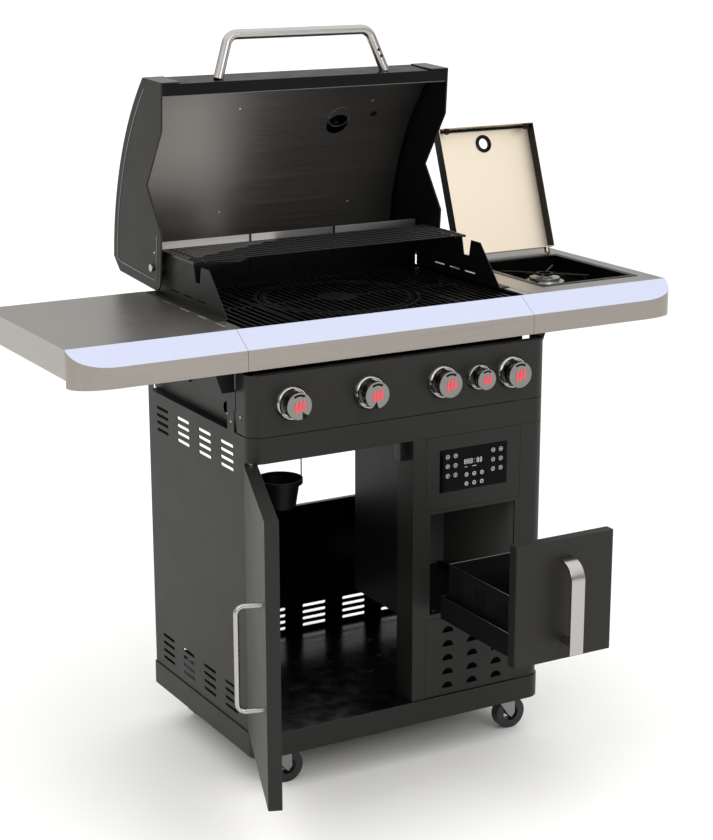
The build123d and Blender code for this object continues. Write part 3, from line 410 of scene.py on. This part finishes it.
def tube(name, points, radius, material, body, closed=False):
    """A round tube along points in the frame, as a mesh."""
    curve = bpy.data.curves.new(name, "CURVE")
    curve.dimensions = "3D"
    curve.bevel_depth = radius * MM
    curve.bevel_resolution = 4
    curve.use_fill_caps = True
    spline = curve.splines.new("POLY")
    spline.points.add(len(points) - 1)
    for knot, point in zip(spline.points, points):
        knot.co = (*point, 1)
    spline.use_cyclic_u = closed
    holder = bpy.data.objects.new(name + "_path", curve)
    bpy.context.scene.collection.objects.link(holder)
    mesh = bpy.data.meshes.new_from_object(holder.evaluated_get(bpy.context.evaluated_depsgraph_get()))
    bpy.data.objects.remove(holder)
    return add_object(name, mesh, material, body, smooth=60)


SCREW_HEAD = [(0, 2.0), (1.6, 2.0), (3.0, 1.5), (3.6, 0.6), (3.6, 0), (0, 0)]


def screws(name, spots, body, material=SCREW_STEEL, size=1.0):
    """Pan-head screws at (place, direction) pairs."""
    heads = []
    profile = [(r * size, h * size) for r, h in SCREW_HEAD]
    for place, direction in spots:
        heads.append(placed(lathed(profile, 20), aim(direction, place)))
    return joined(name, heads, material, body)


# ---------------------------------------------------------------- CAD shapes with finished edges

EDGE_MM = {
    "base_pan": 0.8, "side_panel_left": 0.35, "side_panel_right": 0.35, "back_panel": 0.35,
    "front_rail": 0.6, "fryer_frame": 0.45, "fryer_fascia": 0.45, "touch_glass": 0.4,
    "fryer_vent_panel": 0.35, "fryer_housing": 0.3, "fryer_heater": 0, "fryer_fan": 0,
    "drawer_rails": 0.4, "drawer_front": 0.9, "drawer_tray": 0.4, "drawer_handle": 1.3,
    "fryer_basket": 0.2, "firebox_shell": 0.4, "firebox_cheeks": 0.4, "control_panel": 0.6,
    "gas_manifold": 0.5, "main_burners": 0.5, "flame_tamers": 0, "side_grates": 0,
    "ring_grate": 0, "grate_insert": 0, "warming_rack": 0, "left_table": 0.5,
    "right_table": 0.5, "front_trim": 0.35, "side_burner_bowl": 0.4, "side_burner": 0.6,
    "side_burner_trivet": 0, "side_lid": 0.4, "hood_end_caps": 1.0, "hood_shell": 0.3,
    "hood_liner": 0.3, "hood_handle": 0.5, "thermometer": 0.5, "hinge_pins": 0.6,
    "door_panel": 0.9, "door_handle": 0, "door_catch": 0.5, "table_brackets": 0.4,
    "grease_tray": 0.3, "grease_cup": 0.3, "grate_ledges": 0.3, "tray_rails": 0.3,
}


# Tests of a face's outward normal and its centre in millimetres, for a second coat.

def inner_side(normal, spot):
    return normal.x * spot.x < -0.5 * abs(spot.x)


def outer_wall(normal, spot):
    return abs(spot.x) > 329 and normal.x * spot.x > 0.5 * abs(spot.x)


# Lid side walls facing -X, coated black: painted shade standing for the dark they reflect.
def lid_wall_painted_shade(normal, spot):
    return normal.x < -0.5


# Front-up faces of the lid's inner plate, which take the painted reflection.
def lid_plate(normal, spot):
    return normal.y < -0.85 and normal.z > 0.2


# Front-up faces of the trim chamfer, which take the painted sky reflection.
def chamfer(normal, spot):
    return normal.z > 0.25 and normal.y < -0.2


# Back and side walls inside the fryer niche, which take the painted light.
def niche_wall(normal, spot):
    inside = 60 < spot.x < 274 and 318 < spot.z < 541 and spot.y > -240
    return inside and (normal.y < -0.5 or normal.x < -0.5)


# Upward faces of the hood caps near the top, which take the painted highlight.
def cap_top_faces(normal, spot):
    return normal.z > 0.7 and spot.z > 1350


def faces_front(normal, spot):
    return normal.y < -0.5


# Upward top face of the back panel, which takes the painted highlight.
def top_edge(normal, spot):
    return normal.z > 0.9 and spot.z > 439


def floor_top(normal, spot):
    return normal.z > 0.9 and spot.z > 130


SECOND_COATS = {
    "base_pan": [(GLOSS_FLOOR, floor_top)],
    "back_panel": [(BLACK_GLOSS, faces_front), (BACK_TOP_PAINTED_HIGHLIGHT, top_edge)],
    "side_panel_left": [(BLACK_SATIN, inner_side)],
    "side_panel_right": [(BLACK_SATIN, inner_side)],
    "hood_end_caps": [(BLACK_SATIN, inner_side), (CAP_TOP_PAINTED_HIGHLIGHT, cap_top_faces)],
    "firebox_cheeks": [(BLACK_SATIN, inner_side)],
    "firebox_shell": [(PAINT["charcoal"], outer_wall)],
    "front_trim": [(CHAMFER_SKY_REFLECTION, chamfer)],
    "side_lid": [(LID_PLATE_PAINTED_REFLECTION, lid_plate), (BLACK_SATIN, lid_wall_painted_shade)],
    "fryer_housing": [(NICHE_PAINTED_LIGHT, niche_wall)],
}
CORNERS = ("front_left", "front_right", "rear_left", "rear_right")
for corner in CORNERS:
    EDGE_MM["caster_fork_" + corner] = 0.5
    EDGE_MM["caster_wheel_" + corner] = 2.5
OWN_COAT = {"warming_rack": RACK_WIRE}
for node_name, edge in EDGE_MM.items():
    finished(node_name, OWN_COAT.get(node_name, PAINT[SLOT_OF[node_name]]), edge)


# ---------------------------------------------------------------- knobs and bezels

PANEL_FRONT = (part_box("control_panel")[0].y - CABINET_Y) / MM
FRONT = (0, -1, 0)
KNOBS = [f"knob_{number}" for number in range(1, 6)]
STEM_R = 4.2
MARK_THICK = 0.4
POINTER_DEGREES = {"knob_1": -62, "knob_2": -100}


def facing_front(x, y, z):
    """Stands a plate drawn in XY up at a place in the frame, its thickness towards the front."""
    return Matrix.Translation((x, y, z)) @ Matrix.Rotation(math.pi / 2, 4, "X")


def flame(r):
    """A plain leaf outline, 0.24 r wide and 0.9 r tall."""
    return [(0.12 * r * math.sin(a) * (1 + 0.3 * math.cos(a)), -0.45 * r * math.cos(a))
            for a in (2 * math.pi * i / 20 for i in range(20))]


def arc_points(wide, tall, start, step):
    """Nine points on an ellipse, from a start angle in steps, both in degrees."""
    turns = [math.radians(start + step * i) for i in range(9)]
    return [(wide * math.cos(a), tall * math.sin(a)) for a in turns]


def knob(node):
    """One knob's grip, face disc, red mark and dial arc; returns its radius, centre and face."""
    low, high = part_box(node)
    centre = (low + high) / 2
    r = (high.x - low.x) / 2 / MM
    place = Vector((centre.x, high.y, centre.z))
    long = (high.y - low.y) / MM
    grip = [(STEM_R, 0), (r - 1.6, 0), (r - 1.1, 1), (r - 1.1, long - 6), (r - 0.2, long - 3.6),
            (r - 0.4, long - 2.8), (r - 2, long - 2.6), (STEM_R, long - 2.6), (STEM_R, 0)]
    body = turned(node + "_grip", grip, FRONT, place, BLACK_GLOSS, BODY_OF[node])
    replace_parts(body, node)
    disc = [(0, long - 2.6), (r - 1, long - 2.6), (r, long - 2), (r, long - 0.6), (r - 0.7, long),
            (0, long - 0.3)]
    turned(node + "_disc", disc, FRONT, place, PAINT["knob_face"], BODY_OF[node])
    flames = []
    for dx, dz in ((-0.26, -0.08), (0.04, 0.0), (0.34, 0.08)):
        spot = facing_front(centre.x + dx * r * MM, low.y, centre.z + dz * r * MM)
        flames.append(placed(outline_plate(flame(r), MARK_THICK), spot))
    joined(node + "_mark", flames, RED_INK, BODY_OF[node])
    arc = arc_points(r * 0.88, r * 0.88, 58, 8) + arc_points(r * 0.68, r * 0.72, 122, -8)
    bm = placed(outline_plate(arc, MARK_THICK), facing_front(centre.x, low.y, centre.z))
    add_object(node + "_dial_arc", from_bmesh(bm, node + "_dial_arc"), BLACK_GLOSS, BODY_OF[node])
    return r, centre, low.y


for node_name in KNOBS:
    r, centre, face_y = knob(node_name)
    if node_name in POINTER_DEGREES:
        tilt = math.radians(POINTER_DEGREES[node_name])
        wedge = [(r * 0.5, 0), (r * 0.98, -r * 0.26), (r * 0.98, r * 0.26)]
        bm = outline_plate(wedge, 1.0)
        stand = facing_front(centre.x, face_y + 0.3 * MM, centre.z)
        placed(bm, stand @ Matrix.Rotation(tilt, 4, "Z"))
        add_object(node_name + "_pointer", from_bmesh(bm, "pointer"), BLACK_SATIN, BODY_OF[node_name])

rings = []
for node_name in KNOBS:
    low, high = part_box(node_name)
    r = (high.x - low.x) / 2 / MM
    ring = [(6, 0), (r * 1.32, 0), (r * 1.32, 1.2), (r * 1.19, 8.6), (r * 1.155, 10), (r * 1.09, 10),
            (r * 1.05, 8.8), (r * 1.05, 2), (6, 2), (6, 0)]
    place = Vector(((low.x + high.x) / 2, PANEL_FRONT * MM + CABINET_Y, (low.z + high.z) / 2))
    rings.append(placed(lathed(ring, 72), aim(FRONT, place)))
bezels = joined("knob_bezel_rings", rings, PAINT["chrome"], "cart")
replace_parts(bezels, "knob_bezels")


# ---------------------------------------------------------------- touch panel

DIGIT_THICK = 0.15
PRINT_GAP = 0.02


def bar(half_wide, half_tall, thick=DIGIT_THICK):
    """A rectangular plate about the origin, in millimetres."""
    w, h = half_wide, half_tall
    return outline_plate([(-w, -h), (w, -h), (w, h), (-w, h)], thick)


def print_ring(outer, inner):
    profile = [(inner, 0), (outer, 0), (outer, DIGIT_THICK), (inner, DIGIT_THICK), (inner, 0)]
    return lathed(profile, 28)


def panel_prints():
    """The touch panel's plain rings, bars and digits, at shares of the glass's width and height."""
    low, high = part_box("touch_glass")
    face = low.y - PRINT_GAP * MM
    wide, tall = high.x - low.x, high.z - low.z

    def stand(u, v):
        return facing_front(low.x + u * wide, face, low.z + v * tall)

    bright, dim = [], []
    for u in (0.115, 0.23, 0.79, 0.905):
        for row in range(3):
            v = 0.83 - 0.225 * row
            dim.append(placed(print_ring(4.6, 3.6), stand(u, v)))
            bright.append(placed(bar(2.2, 0.5, 0.2), stand(u, v) @ Matrix.Rotation(0.6 * row, 4, "Z")))
    for column in range(3):
        for row in range(2):
            key = stand(0.395 + 0.115 * column, 0.345 - 0.215 * row)
            bright.append(placed(print_ring(4.2, 3.3), key))
            bright.append(placed(bar(1.6, 0.5, 0.2), key))
    for u in (0.375, 0.42, 0.465, 0.56, 0.605):
        for segment in segments_of_eight():
            bright.append(placed(outline_plate(segment, DIGIT_THICK), stand(u, 0.655)))
    for v in (0.69, 0.62):
        bright.append(placed(bar(0.6, 0.6), stand(0.51, v)))
    for u, half in ((0.385, 3.0), (0.51, 5.0)):
        dim.append(placed(bar(half, 0.6), stand(u, 0.53)))
    joined("touch_panel_prints", bright, WHITE_INK, "cart")
    joined("touch_panel_rings", dim, DIM_INK, "cart")


def segments_of_eight():
    """The seven bars of a lit digit, about 5 mm wide and 10 mm tall."""
    w, h, t = 1.9, 4.6, 0.42
    flat = [[(-w, y - t), (w, y - t), (w, y + t), (-w, y + t)] for y in (-h, 0, h)]
    tall = [[(x - t, y), (x + t, y), (x + t, y + h - 1), (x - t, y + h - 1)]
            for x in (-w - 0.2, w + 0.2) for y in (-h + 0.5, 0.5)]
    return flat + tall


panel_prints()


# ---------------------------------------------------------------- hood fittings

CAP_X = 342.0
ARC_CENTRE = (235.0, 606.0)
CAP_R, LINER_R, SEAM_R = 621.6, 583.5, 581
CAP_FRONT_Y = -152
BEAD_INSET = 21
SIDE_NAMES = {-1: "_left", 1: "_right"}


def arc_height(radius, y):
    """How high an arc about ARC_CENTRE stands at a place along the shut hood's depth."""
    return ARC_CENTRE[1] + math.sqrt(radius ** 2 - (y - ARC_CENTRE[0]) ** 2)


def cap_bead_path(x):
    """The pressed line near a hood cap's edge, drawn on the shut cap."""
    depths = [CAP_FRONT_Y + (ARC_CENTRE[0] - CAP_FRONT_Y) * i / 24 for i in range(25)]
    arc = [(y, arc_height(CAP_R - BEAD_INSET, y)) for y in depths]
    side = [(240, 1190), (239, 1010), (233, 1003), (142, 1001)]
    return [opened(at(x, y, z), "hood_hinge") for y, z in arc + side]


# The cap beads are real pressed lines, drawn in the lighter metal as painted highlight lines.
for side, ending in SIDE_NAMES.items():
    tube("cap_bead" + ending, cap_bead_path(side * (CAP_X + 0.2)), 0.9, EDGE_PAINTED_HIGHLIGHT, "hood")
    seam = [opened(at(side * (CAP_X - 5), y, arc_height(SEAM_R, y)), "hood_hinge")
            for y in range(-140, 240, 20)]
    tube("liner_seam" + ending, seam, 4.5, BLACK_GLOSS, "hood")


def on_liner(x, y):
    """A place on the liner's inside and the way out of it, with the hood as stored."""
    place = opened(at(x, y, arc_height(LINER_R, y)), "hood_hinge")
    centre = opened(at(x, *ARC_CENTRE), "hood_hinge")
    return place, (centre - place).normalized()


screws("liner_screws", [on_liner(x, y) for x in (-110, 215) for y in (-95, 150)], "hood", size=0.9)
place, out = on_liner(146, -60)
gauge_rim = [(25.5, 0), (27.5, 0), (27.5, 1.2), (25.5, 1.2), (25.5, 0)]
turned("gauge_hole_rim", gauge_rim, out, place, SCREW_STEEL, "hood")
place, out = on_liner(232, -62)
turned("liner_plug", [(0, 1.5), (7, 1.2), (8, 0), (0, 0)], out, place, BLACK_SATIN, "hood", steps=24)
bolts = [(opened(at(side * (CAP_X + 0.3), 180, 1012), "hood_hinge"), (side, 0, 0)) for side in SIDE_NAMES]
screws("cap_small_screws", bolts, "hood", size=0.8)


def way_down(hinge):
    """Where straight down on a shut lid or hood points once it is open."""
    return opened(at(0, 0, -1), hinge) - opened(at(0, 0, 0), hinge)


ARM_FOOT = Vector((199, -175, 1002.7))
ARM_RUN = Vector((-33, -86, 21))
arm_spots = [ARM_FOOT + ARM_RUN * share for share in (0.35, 0.5)]
marks = [(opened(at(*spot), "hood_hinge"), way_down("hood_hinge")) for spot in arm_spots]
screws("handle_marks", marks, "hood", BLACK_SATIN, 0.9)


# ---------------------------------------------------------------- side lid fittings

def on_lid(x, y, z):
    return opened(at(x, y, z), "side_lid_hinge")


LID_OUT = way_down("side_lid_hinge")
GROMMET = [(12.5, -3), (12.5, 2), (14, 3.2), (18.5, 3.2), (20.5, 2), (20.5, 0), (12.5, -3)]
BUMPER = [(0, 2), (4.5, 1.8), (6.5, 0.6), (6.5, -8), (0, -8)]
turned("lid_grommet", GROMMET, LID_OUT, on_lid(537, -75, 994.5), BLACK_GLOSS, "lid")
for number, x in enumerate((430, 646)):
    turned(f"lid_bumper_{number + 1}", BUMPER, LID_OUT, on_lid(x, -104, 968), BLACK_SATIN, "lid", steps=28)
lid_line = [on_lid(x, -107.5, 992) for x in (409, 665)]
tube("lid_fold_shadow", lid_line, 2.6, BLACK_SATIN, "lid")


# ---------------------------------------------------------------- drawer rims, vent scoops

def rim_wire(name, low, high, z, body):
    """The folded edge round the top of a basket or tray, in a lighter metal that is a painted highlight.
    """
    (x0, y0), (x1, y1) = low, high
    path = [at(x0, y0, z), at(x1, y0, z), at(x1, y1, z), at(x0, y1, z)]
    tube(name, path, 0.9, EDGE_PAINTED_HIGHLIGHT, body, closed=True)


rim_wire("basket_rim", (78.7, -529.3), (255.3, -294.7), 444, "basket")
rim_wire("tray_rim", (64.7, -549.3), (269.3, -286.7), 374, "drawer")
SCOOP = [(13.4, 0), (12.4, -3), (9.5, -6), (5, -8), (0, -8.6)]
scoops = []
for column in range(3):
    for row in range(5):
        spot = at(108.5 + 61.5 * column, PANEL_FRONT + 2.1, 146.5 + 31.5 * row)
        scoops.append(placed(lathed(SCOOP, 32), aim(FRONT, spot)))
joined("vent_scoops", scoops, BLACK_SATIN, "cart")


# ---------------------------------------------------------------- rear wall strip, small screws

for number, (x0, x1) in enumerate(((-320, -99), (-95, 108), (112, 320))):
    low, high = (x0, 245.6, 1036), (x1, 246.9, 1066.5)
    block(f"rear_wall_strip_{number + 1}", low, high, PAINT["liner_steel"], "cart", 0.2)


def on_both_sides(x, y, z):
    """A place on each side of the cart and the way out from it."""
    return [(at(side * x, y, z), (side, 0, 0)) for side in SIDE_NAMES]


returns = on_both_sides(348.7, -200, 793) + on_both_sides(348.7, -158, 775)
screws("panel_return_screws", returns, "cart", size=0.8)
screws("side_table_bolts", on_both_sides(330.2, 70, 812), "cart", BLACK_SATIN, 2.2)


# ---------------------------------------------------------------- camera, floor, light

FOCAL_MM = 85.43
FRAME_SHIFT = (-0.0117, 0.0506)
VIEW_DIRECTION = Vector((0.4805, 0.8314, -0.2789))
camera = bpy.data.objects.new("camera", bpy.data.cameras.new("camera"))
bpy.context.scene.collection.objects.link(camera)
bpy.context.scene.camera = camera
camera.data.lens = FOCAL_MM
camera.data.shift_x, camera.data.shift_y = FRAME_SHIFT
camera.data.clip_end = 200
camera.location = at(-2017.5, -3578.2, 1793.2)
camera.rotation_mode = "QUATERNION"
camera.rotation_quaternion = VIEW_DIRECTION.to_track_quat("-Z", "Y")


def stage_floor():
    material, shader = start_material("floor_white", (0.95, 0.945, 0.93), 0.95, 0)
    shader.inputs["Specular IOR Level"].default_value = 0.1
    bm = bmesh.new()
    bmesh.ops.create_circle(bm, cap_ends=True, radius=90, segments=64)
    mesh = from_bmesh(bm, "floor")
    mesh.materials.append(material)
    floor = bpy.data.objects.new("floor", mesh)
    bpy.context.scene.collection.objects.link(floor)


def sky(horizon, zenith):
    """Soft studio surround, dim at the horizon and bright overhead."""
    world = bpy.data.worlds.new("studio")
    bpy.context.scene.world = world
    world.use_nodes = True
    tree = world.node_tree
    place = tree.nodes.new("ShaderNodeTexCoord")
    split = tree.nodes.new("ShaderNodeSeparateXYZ")
    ramp = tree.nodes.new("ShaderNodeValToRGB")
    ramp.color_ramp.elements[0].position = 0.12
    ramp.color_ramp.elements[0].color = (*horizon, 1)
    ramp.color_ramp.elements[1].position = 0.75
    ramp.color_ramp.elements[1].color = (*zenith, 1)
    tree.links.new(place.outputs["Generated"], split.inputs["Vector"])
    tree.links.new(split.outputs["Z"], ramp.inputs["Fac"])
    tree.links.new(ramp.outputs["Color"], tree.nodes["Background"].inputs["Color"])
    tree.nodes["Background"].inputs["Strength"].default_value = 1.0


def soft_light(name, place, target, size, watts, colour=(1, 1, 1)):
    data = bpy.data.lights.new(name, "AREA")
    data.shape = "RECTANGLE"
    data.size, data.size_y = size
    data.energy = watts
    data.color = colour
    lamp = bpy.data.objects.new(name, data)
    bpy.context.scene.collection.objects.link(lamp)
    lamp.location = place
    lamp.rotation_mode = "QUATERNION"
    lamp.rotation_quaternion = (target - place).to_track_quat("-Z", "Y")
    lamp.visible_camera = False


stage_floor()
sky((0.34, 0.335, 0.325), (1.50, 1.50, 1.50))
soft_light("key_left", at(-2800, -1200, 2200), at(0, 0, 800), (1.8, 1.8), 14, (1, 0.98, 0.95))
soft_light("hood_glow", at(-170, 120, 1078), at(-250, 300, 1350), (0.34, 0.24), 0.55, (1, 0.96, 0.92))
soft_light("fill_front", at(600, -3600, 2400), at(0, 0, 800), (2.0, 1.4), 30, (1, 0.98, 0.95))
bpy.context.scene.view_settings.view_transform = "Standard"
